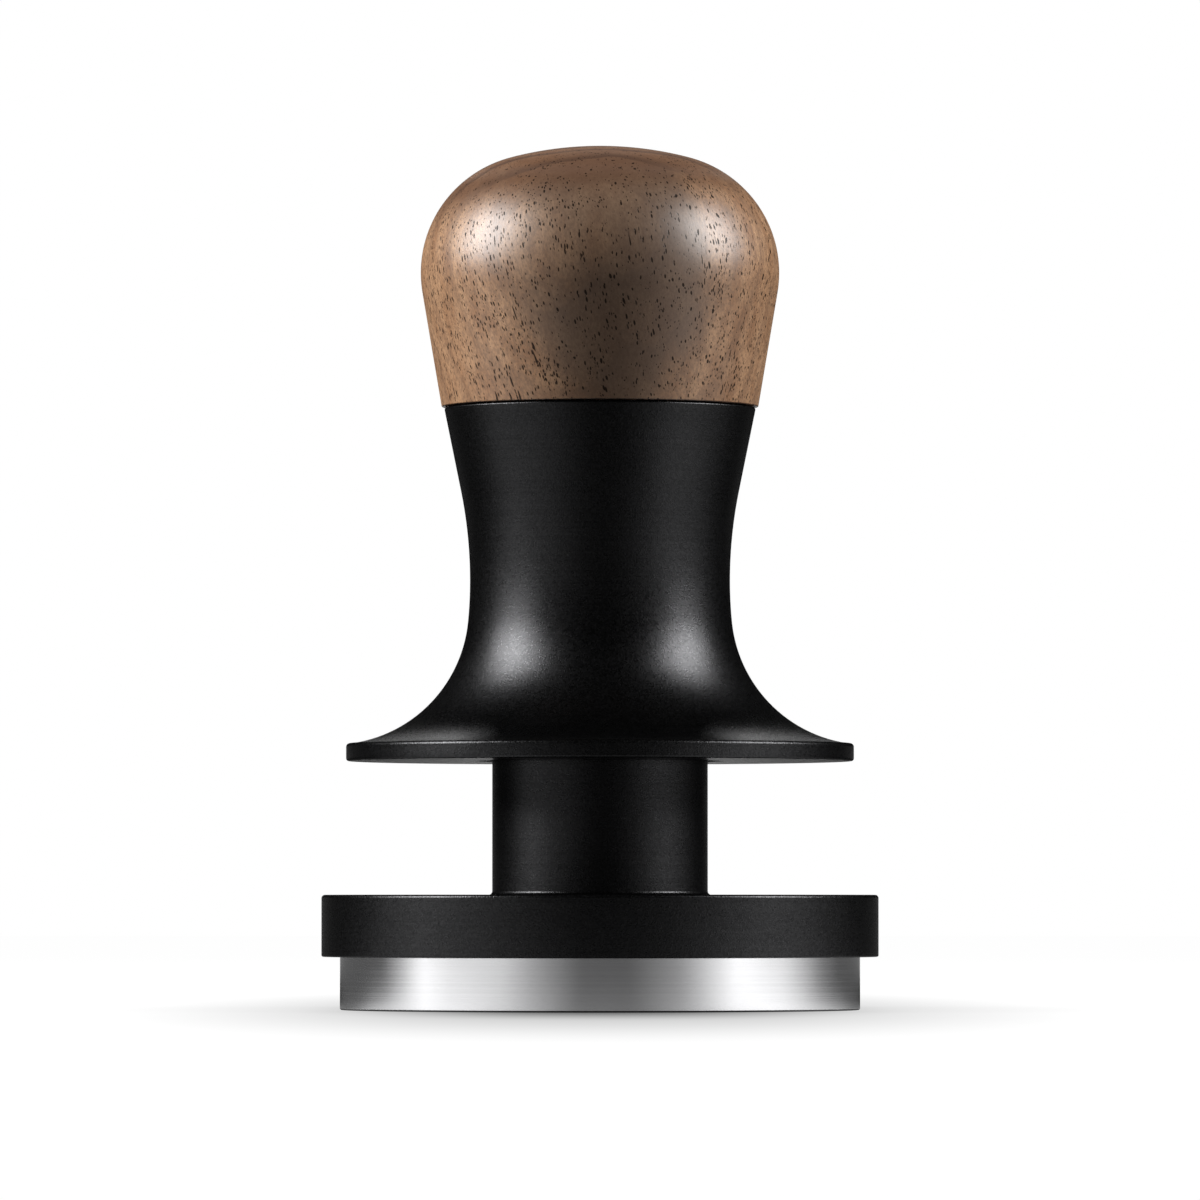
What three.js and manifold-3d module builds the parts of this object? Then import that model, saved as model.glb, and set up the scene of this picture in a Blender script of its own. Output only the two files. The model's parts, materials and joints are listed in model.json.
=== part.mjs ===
// Spring-loaded, self-levelling espresso tamper for 58 mm filter baskets.
//
// A steel base and a post screwed into it carry everything else. A levelling ring with a long
// neck slides up the post against a light spring, and a handle shell with a wooden knob slides
// down over the neck against a strong spring. Threads are simplified to plain cylinders.
// Units are millimetres, +Z is up, and the origin is the centre of the tamping face.

import * as THREE from 'three';
import { mergeVertices } from 'three/addons/utils/BufferGeometryUtils.js';
import Module from 'manifold-3d';

const wasm = await Module();
wasm.setup();

// ---------------------------------------------------------------------------------------------
// Driving dimensions. Heights are measured up from the tamping face, at rest.
// ---------------------------------------------------------------------------------------------

// Clearances
const SEAT_GAP = 0.1;        // axial, between faces that rest on each other
const SLIDE_GAP = 0.15;      // radial, between pieces that slide or turn on each other
const THREAD_GAP = 0.15;     // radial, between a screw thread and its hole
const EDGE_BREAK = 0.3;      // chamfer on turned edges
const OVERSHOOT = 1.0;       // how far a cutter reaches past the face it opens

// How far the handle goes down before the stem's shoulder stops it
const HANDLE_TRAVEL = 7.5;

// Base
const BASE_RADIUS = 58.35 / 2;
const BASE_THICKNESS = 8.0;
const STUD_RADIUS = 4.85;
const STUD_LENGTH = 5.9;
const BASE_FLOOR = 1.8;              // steel left under the stud's blind hole
const LOCK_WASHER_RADIUS = 7.9;
const LOCK_WASHER_THICKNESS = 1.0;
const LOCK_WASHER_SPLIT = 0.12;      // half the split's angle, radians

// Post
const POST_RADIUS = 7.0;
const COLLAR_RADIUS = 10.0;
const COLLAR_BOTTOM = 27.5;
const COLLAR_THICKNESS = 3.0;
const WRENCH_FLAT = 6.1;             // from the axis to each flat
const WRENCH_FLAT_BOTTOM = 22.4;
const WRENCH_FLAT_TOP = 27.0;
const STEM_RADIUS = 5.5;
const TIP_RADIUS = 4.0;
const TIP_TOP = 63.3;
const SCREW_HOLE_DEPTH = 12.0;

// Levelling ring and its neck
const RING_RADIUS = 62.5 / 2;
const RING_BOTTOM = 5.95;
const RING_TOP = 12.9;
const RING_RECESS_RADIUS = 29.5;
const NECK_RADIUS = 24.2 / 2;
const NECK_BORE_RADIUS = 10.3;
const NECK_TOP = 42.0;
const NECK_FILLET = 0.4;
const BUSH_BORE_RADIUS = 9.0;
const BUSH_FLANGE_THICKNESS = 1.4;
const THRUST_WASHER_THICKNESS = 0.5;

// Handle shell
const HANDLE_BOTTOM = 27.9;
const FLANGE_RADIUS = 57.0 / 2;
const FLANGE_THICKNESS = 2.0;
const WAIST_RADIUS = 14.6;
const WAIST_HEIGHT = 48.15;
const UPPER_ARC = 50.7;              // from the waist up to the cone
const CONE_ANGLE = THREE.MathUtils.degToRad(11.2);
const LOWER_ARC = 47.3;              // from the waist down to the flare
const LOWER_ARC_ANGLE = THREE.MathUtils.degToRad(5.6);
const FLARE_ARC = 15.3;
const SHELL_TOP = 67.6;
const SHELL_BORE_RADIUS = 12.9;
const WEB_BOTTOM = 58.0;
const WEB_TOP = 61.5;
const INSERT_THREAD_RADIUS = 14.0;

// Guide bush and its snap ring
const GUIDE_BUSH_RADIUS = 13.5;
const GUIDE_BUSH_TOP = 36.1;
const SNAP_RING_BOTTOM = 28.6;
const SNAP_RING_THICKNESS = 0.8;
const SNAP_RING_RADIUS = 14.0;
const SNAP_RING_BORE = 12.7;
const SNAP_RING_OPENING = 0.35;      // half the opening's angle, radians

// Top stop: stem bush, bumper, washer and screw
const STEM_BUSH_RADIUS = 5.6;
const STEM_BUSH_FLANGE_RADIUS = 6.6;
const STEM_BUSH_FLANGE_THICKNESS = 0.7;
const BUMPER_RADIUS = 7.2;
const BUMPER_BORE = 4.4;
const STOP_WASHER_RADIUS = 7.5;
const STOP_WASHER_THICKNESS = 1.0;
const SCREW_RADIUS = 2.5;
const SCREW_HEAD_RADIUS = 4.25;
const SCREW_HEAD_HEIGHT = 2.8;
const SCREW_LENGTH = 10.0;
const HEX_SOCKET_RADIUS = 1.75;      // to the corners
const HEX_SOCKET_DEPTH = 1.5;

// Knob and its threaded insert
const OVERALL_HEIGHT = 97.0;
const KNOB_BOTTOM = 67.9;
const KNOB_FOOT_ROUND = 0.4;
const KNOB_CONE_ANGLE = THREE.MathUtils.degToRad(9.6);
const SHOULDER_ARC = 13.3;
const CROWN_ARC = 39.6;
const CROWN_ANGLE = THREE.MathUtils.degToRad(15.1);
const KNOB_CAVITY_TOP = 76.6;
const INSERT_BOTTOM = 62.4;
const INSERT_FLANGE_BOTTOM = 67.8;
const INSERT_FLANGE_THICKNESS = 4.0;
const INSERT_FLANGE_RADIUS = 15.2;
const INSERT_BORE = 8.5;
const KNOB_SCREW_COUNT = 3;
const KNOB_SCREW_CIRCLE = 11.25;     // radius of the circle the screws stand on
const KNOB_SCREW_RADIUS = 1.15;
const KNOB_SCREW_HEAD_RADIUS = 2.3;
const KNOB_SCREW_LENGTH = 16.0;
const KNOB_SCREW_POINT = 2.5;

// Springs: active turns between, and dead turns at each end
const MAIN_SPRING = { wire: 2.0, radius: 7.5, active: 6, dead: 1, sides: 8 };
const LEVELLING_SPRING = { wire: 0.8, radius: 9.0, active: 4, dead: 0.75, sides: 6 };
const DEAD_TURN_PITCH = 1.05;        // in wire diameters
const SPRING_SEAT_THICKNESS = 0.8;
const SPRING_SEAT_RADIUS = 8.75;

// Levels that follow from the ones above
const THRUST_WASHER_BOTTOM = RING_TOP + BUSH_FLANGE_THICKNESS + 2 * SEAT_GAP;
const THRUST_WASHER_TOP = THRUST_WASHER_BOTTOM + THRUST_WASHER_THICKNESS;
const COLLAR_TOP = COLLAR_BOTTOM + COLLAR_THICKNESS;
const SPRING_SEAT_TOP = WEB_BOTTOM - SEAT_GAP;
const SPRING_SEAT_BOTTOM = SPRING_SEAT_TOP - SPRING_SEAT_THICKNESS;
const STEM_SHOULDER = SPRING_SEAT_BOTTOM - HANDLE_TRAVEL - SEAT_GAP;
const STEM_BUSH_TOP = WEB_TOP + SEAT_GAP + STEM_BUSH_FLANGE_THICKNESS;
const STOP_WASHER_BOTTOM = TIP_TOP + SEAT_GAP;
const STOP_WASHER_TOP = STOP_WASHER_BOTTOM + STOP_WASHER_THICKNESS;
const SHOULDER_BOTTOM = BASE_THICKNESS - SEAT_GAP;    // the post's face on the lock washer

// Facets round each turned piece
const FINE = 40;
const MEDIUM = 24;
const COARSE = 12;
const OPEN_RING_STEPS = 16;
const COIL_STEPS_PER_TURN = 12;

// Facets along the arcs of the outlines
const FLARE_FACETS = 9;
const LOWER_ARC_FACETS = 2;
const UPPER_ARC_FACETS = 4;
const SHOULDER_FACETS = 8;
const CROWN_FACETS = 4;
const FILLET_FACETS = 2;

const MERGE_TOLERANCE = 1e-4;        // points closer than this are one point

// ---------------------------------------------------------------------------------------------
// Helpers
// ---------------------------------------------------------------------------------------------

// Turns an outline of [radius, height] points about the Z axis. It runs up the outside, and
// either starts and ends on the axis or closes on itself.
function turned(outline, facets) {
  const points = outline.map(([radius, height]) => new THREE.Vector2(radius, height));
  const onAxis = outline[0][0] === 0;
  if (!onAxis) points.push(points[0].clone());
  return new THREE.LatheGeometry(points, facets).rotateX(Math.PI / 2);
}

// Points along an arc in the [radius, height] plane, both ends included. Angles are in radians
// from the outward direction towards +Z.
function arc(centreRadius, centreHeight, radius, from, to, steps) {
  const points = [];
  for (let i = 0; i <= steps; i++) {
    const angle = from + (to - from) * i / steps;
    points.push([centreRadius + radius * Math.cos(angle), centreHeight + radius * Math.sin(angle)]);
  }
  return points;
}

// A plain washer or sleeve with broken edges.
function sleeve(bore, radius, bottom, top, edge, facets) {
  return turned([
    [bore, bottom], [radius - edge, bottom], [radius, bottom + edge],
    [radius, top - edge], [radius - edge, top], [bore, top],
  ], facets);
}

// A flat ring with an opening in it, such as a split washer or a snap ring.
function openRing(bore, radius, bottom, thickness, halfOpening) {
  const outline = new THREE.Shape();
  outline.absarc(0, 0, radius, halfOpening, 2 * Math.PI - halfOpening, false);
  outline.absarc(0, 0, bore, 2 * Math.PI - halfOpening, halfOpening, true);
  const options = { depth: thickness, bevelEnabled: false, curveSegments: OPEN_RING_STEPS };
  return new THREE.ExtrudeGeometry(outline, options).translate(0, 0, bottom);
}

// A coil spring's centre line: dead turns that lie close together at both ends, and active
// turns with an even pitch between them.
class CoilCurve extends THREE.Curve {
  constructor(spring, bottom, top) {
    super();
    this.spring = spring;
    this.bottom = bottom + spring.wire / 2;
    this.rise = top - bottom - spring.wire;
    this.turns = spring.active + 2 * spring.dead;
  }

  getPoint(t, target = new THREE.Vector3()) {
    const { wire, radius, active, dead } = this.spring;
    const turn = t * this.turns;
    const deadPitch = wire * DEAD_TURN_PITCH;
    const activePitch = (this.rise - 2 * dead * deadPitch) / active;
    const deadTurns = Math.min(turn, dead) + Math.max(turn - dead - active, 0);
    const activeTurns = THREE.MathUtils.clamp(turn - dead, 0, active);
    const height = this.bottom + deadTurns * deadPitch + activeTurns * activePitch;
    const angle = 2 * Math.PI * turn;
    return target.set(radius * Math.cos(angle), radius * Math.sin(angle), height);
  }
}

// A coil spring between two heights.
function coil(spring, bottom, top) {
  const path = new CoilCurve(spring, bottom + SEAT_GAP, top - SEAT_GAP);
  const section = new THREE.Shape();
  for (let i = 0; i < spring.sides; i++) {
    const angle = 2 * Math.PI * i / spring.sides;
    const x = spring.wire / 2 * Math.cos(angle);
    const y = spring.wire / 2 * Math.sin(angle);
    if (i === 0) section.moveTo(x, y);
    else section.lineTo(x, y);
  }
  const steps = Math.round(path.turns * COIL_STEPS_PER_TURN);
  return new THREE.ExtrudeGeometry(section, { steps, extrudePath: path, bevelEnabled: false });
}

// A three.js geometry as a manifold solid.
function solid(geometry) {
  const bare = geometry.clone();
  bare.deleteAttribute('normal');
  bare.deleteAttribute('uv');
  const merged = mergeVertices(bare, MERGE_TOLERANCE);
  const index = merged.index.array;
  const triangles = [];
  for (let i = 0; i < index.length; i += 3) {
    const [a, b, c] = [index[i], index[i + 1], index[i + 2]];
    if (a !== b && b !== c && c !== a) triangles.push(a, b, c);
  }
  return new wasm.Manifold(new wasm.Mesh({
    numProp: 3,
    vertProperties: new Float32Array(merged.attributes.position.array),
    triVerts: new Uint32Array(triangles),
  }));
}

// The first geometry with all the cutters taken away.
function cut(geometry, cutters) {
  const result = cutters.reduce((left, cutter) => left.subtract(solid(cutter)), solid(geometry));
  const mesh = result.getMesh();
  const cutGeometry = new THREE.BufferGeometry();
  cutGeometry.setAttribute('position', new THREE.BufferAttribute(mesh.vertProperties, 3));
  cutGeometry.setIndex(new THREE.BufferAttribute(mesh.triVerts, 1));
  return cutGeometry;
}

// Copies of a cutter on the circle that the knob's screws stand on.
function onScrewCircle(makeCutter) {
  const cutters = [];
  for (let i = 0; i < KNOB_SCREW_COUNT; i++) {
    const [x, y] = screwPlace(i);
    cutters.push(makeCutter().translate(x, y, 0));
  }
  return cutters;
}

function screwPlace(i) {
  const angle = Math.PI / 2 + 2 * Math.PI * i / KNOB_SCREW_COUNT;
  return [KNOB_SCREW_CIRCLE * Math.cos(angle), KNOB_SCREW_CIRCLE * Math.sin(angle)];
}

// ---------------------------------------------------------------------------------------------
// Base and post
// ---------------------------------------------------------------------------------------------

// Solid steel disc with a blind hole for the post's stud and a counterbore for its washer.
function tamperBase() {
  const holeRadius = STUD_RADIUS + THREAD_GAP;
  const counterbore = LOCK_WASHER_RADIUS + 2 * SEAT_GAP;
  const counterboreFloor = SHOULDER_BOTTOM - LOCK_WASHER_THICKNESS - 2 * SEAT_GAP;
  return turned([
    [0, 0],
    [BASE_RADIUS - EDGE_BREAK, 0],
    [BASE_RADIUS, EDGE_BREAK],
    [BASE_RADIUS, BASE_THICKNESS - EDGE_BREAK],
    [BASE_RADIUS - EDGE_BREAK, BASE_THICKNESS],
    [counterbore, BASE_THICKNESS],
    [counterbore, counterboreFloor],
    [holeRadius, counterboreFloor],
    [holeRadius, BASE_FLOOR],
    [0, BASE_FLOOR],
  ], FINE);
}

// Stud, post, collar, stem with a stop shoulder, and a tip with a screw hole in its end.
function centerPost() {
  const holeRadius = SCREW_RADIUS + THREAD_GAP;
  const body = turned([
    [0, SHOULDER_BOTTOM - STUD_LENGTH],
    [STUD_RADIUS, SHOULDER_BOTTOM - STUD_LENGTH],
    [STUD_RADIUS, SHOULDER_BOTTOM],
    [POST_RADIUS, SHOULDER_BOTTOM],
    [POST_RADIUS, COLLAR_BOTTOM],
    [COLLAR_RADIUS - EDGE_BREAK, COLLAR_BOTTOM],
    [COLLAR_RADIUS, COLLAR_BOTTOM + EDGE_BREAK],
    [COLLAR_RADIUS, COLLAR_TOP - EDGE_BREAK],
    [COLLAR_RADIUS - EDGE_BREAK, COLLAR_TOP],
    [STEM_RADIUS, COLLAR_TOP],
    [STEM_RADIUS, STEM_SHOULDER - EDGE_BREAK],
    [STEM_RADIUS - EDGE_BREAK, STEM_SHOULDER],
    [TIP_RADIUS, STEM_SHOULDER],
    [TIP_RADIUS, TIP_TOP - EDGE_BREAK],
    [TIP_RADIUS - EDGE_BREAK, TIP_TOP],
    [holeRadius, TIP_TOP],
    [holeRadius, TIP_TOP - SCREW_HOLE_DEPTH],
    [0, TIP_TOP - SCREW_HOLE_DEPTH],
  ], MEDIUM);
  const height = WRENCH_FLAT_TOP - WRENCH_FLAT_BOTTOM;
  const middle = (WRENCH_FLAT_TOP + WRENCH_FLAT_BOTTOM) / 2;
  const width = 2 * POST_RADIUS;
  const flats = [-1, 1].map((side) => new THREE.BoxGeometry(width, width, height)
    .translate(side * (WRENCH_FLAT + POST_RADIUS), 0, middle));
  return cut(body, flats);
}

function postLockWasher() {
  const bottom = SHOULDER_BOTTOM - LOCK_WASHER_THICKNESS - SEAT_GAP;
  const bore = STUD_RADIUS + 2 * THREAD_GAP;
  return openRing(bore, LOCK_WASHER_RADIUS, bottom, LOCK_WASHER_THICKNESS, LOCK_WASHER_SPLIT);
}

// ---------------------------------------------------------------------------------------------
// Levelling ring
// ---------------------------------------------------------------------------------------------

// Ring and neck in one piece. The base's top edge nests in the recess under the ring, and the
// step in the bore holds the bush's flange.
function levellingRing() {
  const underside = BASE_THICKNESS + SEAT_GAP;
  const foot = arc(NECK_RADIUS + NECK_FILLET, RING_TOP + NECK_FILLET, NECK_FILLET,
    -Math.PI / 2, -Math.PI, FILLET_FACETS);
  return turned([
    [RING_RECESS_RADIUS, RING_BOTTOM],
    [RING_RADIUS - EDGE_BREAK / 2, RING_BOTTOM],
    [RING_RADIUS, RING_BOTTOM + EDGE_BREAK / 2],
    [RING_RADIUS, RING_TOP - EDGE_BREAK],
    [RING_RADIUS - EDGE_BREAK, RING_TOP],
    ...foot,
    [NECK_RADIUS, NECK_TOP - EDGE_BREAK],
    [NECK_RADIUS - EDGE_BREAK, NECK_TOP],
    [NECK_BORE_RADIUS, NECK_TOP],
    [NECK_BORE_RADIUS, RING_TOP],
    [BUSH_BORE_RADIUS, RING_TOP],
    [BUSH_BORE_RADIUS, underside],
    [RING_RECESS_RADIUS, underside],
  ], FINE);
}

// Flanged plastic bush that the ring slides and turns on.
function levellingBush() {
  const bore = POST_RADIUS + SLIDE_GAP;
  const flangeBottom = RING_TOP + SEAT_GAP;
  return turned([
    [bore, BASE_THICKNESS + 4 * SEAT_GAP],
    [BUSH_BORE_RADIUS - SEAT_GAP, BASE_THICKNESS + 4 * SEAT_GAP],
    [BUSH_BORE_RADIUS - SEAT_GAP, flangeBottom],
    [NECK_BORE_RADIUS - 2 * SEAT_GAP, flangeBottom],
    [NECK_BORE_RADIUS - 2 * SEAT_GAP, flangeBottom + BUSH_FLANGE_THICKNESS],
    [bore, flangeBottom + BUSH_FLANGE_THICKNESS],
  ], MEDIUM);
}

function levellingThrustWasher() {
  return sleeve(POST_RADIUS + 2 * SLIDE_GAP, NECK_BORE_RADIUS - 2 * SLIDE_GAP,
    THRUST_WASHER_BOTTOM, THRUST_WASHER_TOP, SEAT_GAP, MEDIUM);
}

function levellingSpring() {
  return coil(LEVELLING_SPRING, THRUST_WASHER_TOP, COLLAR_BOTTOM);
}

// ---------------------------------------------------------------------------------------------
// Handle
// ---------------------------------------------------------------------------------------------

// The outside of the shell from the flange's top up to its rim: flare, waist and cone.
function shellSide() {
  const arcStartRadius = WAIST_RADIUS + LOWER_ARC * (1 - Math.cos(LOWER_ARC_ANGLE));
  const arcStartHeight = WAIST_HEIGHT - LOWER_ARC * Math.sin(LOWER_ARC_ANGLE);
  const flareRadius = arcStartRadius + FLARE_ARC * Math.cos(LOWER_ARC_ANGLE);
  const flareHeight = arcStartHeight + FLARE_ARC * Math.sin(LOWER_ARC_ANGLE);
  const flareEnd = Math.asin((flareHeight - HANDLE_BOTTOM - FLANGE_THICKNESS) / FLARE_ARC);
  const flare = arc(flareRadius, flareHeight, FLARE_ARC,
    -Math.PI + flareEnd, -Math.PI + LOWER_ARC_ANGLE, FLARE_FACETS);
  const lower = arc(WAIST_RADIUS + LOWER_ARC, WAIST_HEIGHT, LOWER_ARC,
    -Math.PI + LOWER_ARC_ANGLE, -Math.PI, LOWER_ARC_FACETS);
  const upper = arc(WAIST_RADIUS + UPPER_ARC, WAIST_HEIGHT, UPPER_ARC,
    Math.PI, Math.PI - CONE_ANGLE, UPPER_ARC_FACETS);
  const [coneRadius, coneHeight] = upper[upper.length - 1];
  const topRadius = coneRadius + (SHELL_TOP - coneHeight) * Math.tan(CONE_ANGLE);
  return [
    ...flare, ...lower.slice(1), ...upper.slice(1),
    [topRadius - EDGE_BREAK * Math.tan(CONE_ANGLE), SHELL_TOP - EDGE_BREAK],
    [topRadius - EDGE_BREAK, SHELL_TOP],
  ];
}

// One turned shell: flange, waisted grip, a web for the stem bush, a threaded mouth on top,
// and a counterbore with a snap ring groove underneath.
function handleShell() {
  const counterbore = GUIDE_BUSH_RADIUS + SEAT_GAP;
  const groove = SNAP_RING_RADIUS + 2 * SEAT_GAP;
  const grooveBottom = SNAP_RING_BOTTOM - SEAT_GAP;
  const grooveTop = SNAP_RING_BOTTOM + SNAP_RING_THICKNESS + SEAT_GAP;
  const flangeTop = HANDLE_BOTTOM + FLANGE_THICKNESS;
  const stemHole = STEM_BUSH_RADIUS + SEAT_GAP;
  const mouth = INSERT_THREAD_RADIUS + THREAD_GAP;
  return turned([
    [counterbore, HANDLE_BOTTOM],
    [FLANGE_RADIUS - EDGE_BREAK, HANDLE_BOTTOM],
    [FLANGE_RADIUS, HANDLE_BOTTOM + EDGE_BREAK],
    [FLANGE_RADIUS, flangeTop - EDGE_BREAK],
    [FLANGE_RADIUS - EDGE_BREAK, flangeTop],
    ...shellSide(),
    [mouth, SHELL_TOP],
    [mouth, WEB_TOP],
    [stemHole, WEB_TOP],
    [stemHole, WEB_BOTTOM],
    [SHELL_BORE_RADIUS, WEB_BOTTOM],
    [SHELL_BORE_RADIUS, GUIDE_BUSH_TOP + SEAT_GAP],
    [counterbore, GUIDE_BUSH_TOP + SEAT_GAP],
    [counterbore, grooveTop],
    [groove, grooveTop],
    [groove, grooveBottom],
    [counterbore, grooveBottom],
  ], FINE);
}

function handleGuideBush() {
  const bottom = SNAP_RING_BOTTOM + SNAP_RING_THICKNESS + 2 * SEAT_GAP;
  return sleeve(NECK_RADIUS + SLIDE_GAP, GUIDE_BUSH_RADIUS, bottom, GUIDE_BUSH_TOP,
    EDGE_BREAK, FINE);
}

function guideBushClip() {
  return openRing(SNAP_RING_BORE, SNAP_RING_RADIUS, SNAP_RING_BOTTOM, SNAP_RING_THICKNESS,
    SNAP_RING_OPENING);
}

function upperSpringSeat() {
  return sleeve(TIP_RADIUS + SLIDE_GAP, SPRING_SEAT_RADIUS, SPRING_SEAT_BOTTOM,
    SPRING_SEAT_TOP, SEAT_GAP, MEDIUM);
}

function mainSpring() {
  return coil(MAIN_SPRING, COLLAR_TOP, SPRING_SEAT_BOTTOM);
}

// Flanged plastic bush in the shell's web, running on the post's tip.
function stemBush() {
  const bore = TIP_RADIUS + SLIDE_GAP;
  return turned([
    [bore, WEB_BOTTOM + 2 * SEAT_GAP],
    [STEM_BUSH_RADIUS, WEB_BOTTOM + 2 * SEAT_GAP],
    [STEM_BUSH_RADIUS, WEB_TOP + SEAT_GAP],
    [STEM_BUSH_FLANGE_RADIUS, WEB_TOP + SEAT_GAP],
    [STEM_BUSH_FLANGE_RADIUS, STEM_BUSH_TOP],
    [bore, STEM_BUSH_TOP],
  ], MEDIUM);
}

// ---------------------------------------------------------------------------------------------
// Top stop
// ---------------------------------------------------------------------------------------------

function bumperRing() {
  return sleeve(BUMPER_BORE, BUMPER_RADIUS, STEM_BUSH_TOP + SEAT_GAP,
    STOP_WASHER_BOTTOM - SEAT_GAP, 2 * SEAT_GAP, MEDIUM);
}

function retainingWasher() {
  return sleeve(SCREW_RADIUS + THREAD_GAP, STOP_WASHER_RADIUS, STOP_WASHER_BOTTOM,
    STOP_WASHER_TOP, SEAT_GAP, MEDIUM);
}

// Low-head cap screw with a hexagon socket.
function retainingScrew() {
  const headBottom = STOP_WASHER_TOP + SEAT_GAP;
  const headTop = headBottom + SCREW_HEAD_HEIGHT;
  const body = turned([
    [0, headBottom - SCREW_LENGTH],
    [SCREW_RADIUS - EDGE_BREAK, headBottom - SCREW_LENGTH],
    [SCREW_RADIUS, headBottom - SCREW_LENGTH + EDGE_BREAK],
    [SCREW_RADIUS, headBottom],
    [SCREW_HEAD_RADIUS, headBottom],
    [SCREW_HEAD_RADIUS, headTop - EDGE_BREAK],
    [SCREW_HEAD_RADIUS - EDGE_BREAK, headTop],
    [0, headTop],
  ], COARSE);
  const socket = new THREE.CylinderGeometry(
    HEX_SOCKET_RADIUS, HEX_SOCKET_RADIUS, 2 * HEX_SOCKET_DEPTH, 6);
  return cut(body, [socket.rotateX(Math.PI / 2).translate(0, 0, headTop)]);
}

// ---------------------------------------------------------------------------------------------
// Knob
// ---------------------------------------------------------------------------------------------

// Aluminium insert: a threaded boss for the shell's mouth and a flange let into the knob.
function knobInsert() {
  const flangeTop = INSERT_FLANGE_BOTTOM + INSERT_FLANGE_THICKNESS;
  const body = turned([
    [INSERT_BORE, INSERT_BOTTOM],
    [INSERT_THREAD_RADIUS - EDGE_BREAK, INSERT_BOTTOM],
    [INSERT_THREAD_RADIUS, INSERT_BOTTOM + EDGE_BREAK],
    [INSERT_THREAD_RADIUS, INSERT_FLANGE_BOTTOM],
    [INSERT_FLANGE_RADIUS, INSERT_FLANGE_BOTTOM],
    [INSERT_FLANGE_RADIUS, flangeTop],
    [INSERT_BORE, flangeTop],
  ], FINE);
  return cut(body, onScrewCircle(insertHole));
}

// Countersunk hole through the insert.
function insertHole() {
  const hole = KNOB_SCREW_RADIUS + THREAD_GAP;
  const countersink = KNOB_SCREW_HEAD_RADIUS + THREAD_GAP;
  const above = INSERT_FLANGE_BOTTOM + INSERT_FLANGE_THICKNESS + OVERSHOOT;
  return turned([
    [0, INSERT_BOTTOM - OVERSHOOT],
    [countersink, INSERT_BOTTOM - OVERSHOOT],
    [countersink, INSERT_BOTTOM + SEAT_GAP],
    [hole, INSERT_BOTTOM + SEAT_GAP + countersink - hole],
    [hole, above],
    [0, above],
  ], COARSE);
}

// Countersunk wood screw, head down, standing on the Z axis.
function knobScrew() {
  const bottom = INSERT_BOTTOM + SEAT_GAP;
  return turned([
    [0, bottom],
    [KNOB_SCREW_HEAD_RADIUS, bottom],
    [KNOB_SCREW_RADIUS, bottom + KNOB_SCREW_HEAD_RADIUS - KNOB_SCREW_RADIUS],
    [KNOB_SCREW_RADIUS, bottom + KNOB_SCREW_LENGTH - KNOB_SCREW_POINT],
    [0, bottom + KNOB_SCREW_LENGTH],
  ], COARSE);
}

// Wooden knob: cone, rounded shoulder and low crown outside. Inside, a pocket for the insert,
// a cavity that clears the retaining screw when the handle is pressed, and pilot holes.
function knob() {
  const crownCentre = OVERALL_HEIGHT - CROWN_ARC;
  const shoulderRadius = (CROWN_ARC - SHOULDER_ARC) * Math.sin(CROWN_ANGLE);
  const shoulderHeight = crownCentre + (CROWN_ARC - SHOULDER_ARC) * Math.cos(CROWN_ANGLE);
  const shoulder = arc(shoulderRadius, shoulderHeight, SHOULDER_ARC,
    -KNOB_CONE_ANGLE, Math.PI / 2 - CROWN_ANGLE, SHOULDER_FACETS);
  const crown = arc(0, crownCentre, CROWN_ARC,
    Math.PI / 2 - CROWN_ANGLE, Math.PI / 2, CROWN_FACETS);
  const [coneRadius, coneHeight] = shoulder[0];
  const footHeight = KNOB_BOTTOM + KNOB_FOOT_ROUND;
  const footRadius = coneRadius - (coneHeight - footHeight) * Math.tan(KNOB_CONE_ANGLE);
  const foot = arc(footRadius - KNOB_FOOT_ROUND, footHeight, KNOB_FOOT_ROUND,
    -Math.PI / 2, 0, FILLET_FACETS);
  const pocketRadius = INSERT_FLANGE_RADIUS + THREAD_GAP;
  const pocketTop = INSERT_FLANGE_BOTTOM + INSERT_FLANGE_THICKNESS + SEAT_GAP;
  const cavityRadius = INSERT_BORE + SEAT_GAP;
  const body = turned([
    [0, KNOB_CAVITY_TOP],
    [cavityRadius, KNOB_CAVITY_TOP],
    [cavityRadius, pocketTop],
    [pocketRadius, pocketTop],
    [pocketRadius, KNOB_BOTTOM],
    ...foot,
    ...shoulder,
    ...crown.slice(1, -1),
    [0, OVERALL_HEIGHT],
  ], FINE);
  return cut(body, onScrewCircle(pilotHole));
}

// Blind pilot hole for a wood screw, open into the insert's pocket.
function pilotHole() {
  const radius = KNOB_SCREW_RADIUS + THREAD_GAP;
  const bottom = INSERT_FLANGE_BOTTOM + INSERT_FLANGE_THICKNESS - OVERSHOOT;
  const top = INSERT_BOTTOM + KNOB_SCREW_LENGTH + 3 * SEAT_GAP;
  return turned([[0, bottom], [radius, bottom], [radius, top], [0, top]], COARSE);
}

// ---------------------------------------------------------------------------------------------
// Assembly
// ---------------------------------------------------------------------------------------------

const stainlessSteel = { color: 0xbcbdbf, roughness: 0.28, metalness: 1.0 };
const blackAnodised = { color: 0x0c0c0d, roughness: 0.55, metalness: 0.6 };
const walnut = { color: 0x5d4333, roughness: 0.5, metalness: 0.0 };
const springSteel = { color: 0x8d8f92, roughness: 0.35, metalness: 1.0 };
const plainAluminium = { color: 0xc6c8ca, roughness: 0.4, metalness: 1.0 };
const acetal = { color: 0xe6e3dc, roughness: 0.45, metalness: 0.0 };
const blackRubber = { color: 0x161616, roughness: 0.9, metalness: 0.0 };
const blackSteel = { color: 0x242426, roughness: 0.5, metalness: 0.9 };

function part(name, geometry, look) {
  const mesh = new THREE.Mesh(geometry, new THREE.MeshStandardMaterial(look));
  mesh.name = name;
  return mesh;
}

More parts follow.
